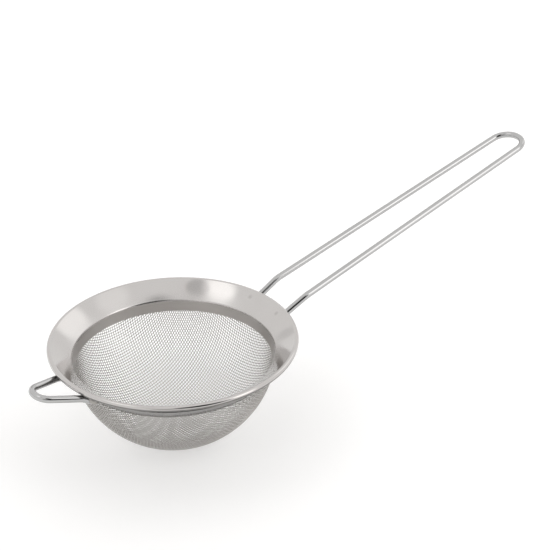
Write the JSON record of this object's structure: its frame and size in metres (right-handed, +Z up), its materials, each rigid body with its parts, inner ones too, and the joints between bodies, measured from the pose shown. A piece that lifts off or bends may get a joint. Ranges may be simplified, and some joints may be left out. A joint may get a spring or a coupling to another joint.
{
  "type": "tea strainer",
  "caption": "Tea strainer: a woven wire bowl in a sloping rolled rim, with a long bent-wire handle and a small wire rest opposite it.",
  "frame": {"origin": "centre of the small flat under the wire bowl", "axes": "+Z up, square to the rim; +X from the bowl along the handle; the cup rest is towards -X"},
  "size_m": [0.2572, 0.1, 0.0793],
  "materials": {
    "polished_steel": "polished stainless steel",
    "woven_steel": "woven stainless steel wire",
    "steel_wire": "polished drawn wire",
    "weld_steel": "brushed-off weld"
  },
  "bodies": {
    "root": {"rim_flange": "polished_steel", "mesh_bowl": "woven_steel", "clamp_ring": "polished_steel", "handle_wire": "steel_wire", "rest_loop": "steel_wire", "handle_weld_left": "weld_steel", "handle_weld_right": "weld_steel", "rest_weld_left": "weld_steel", "rest_weld_right": "weld_steel"}
  },
  "joints": []
}
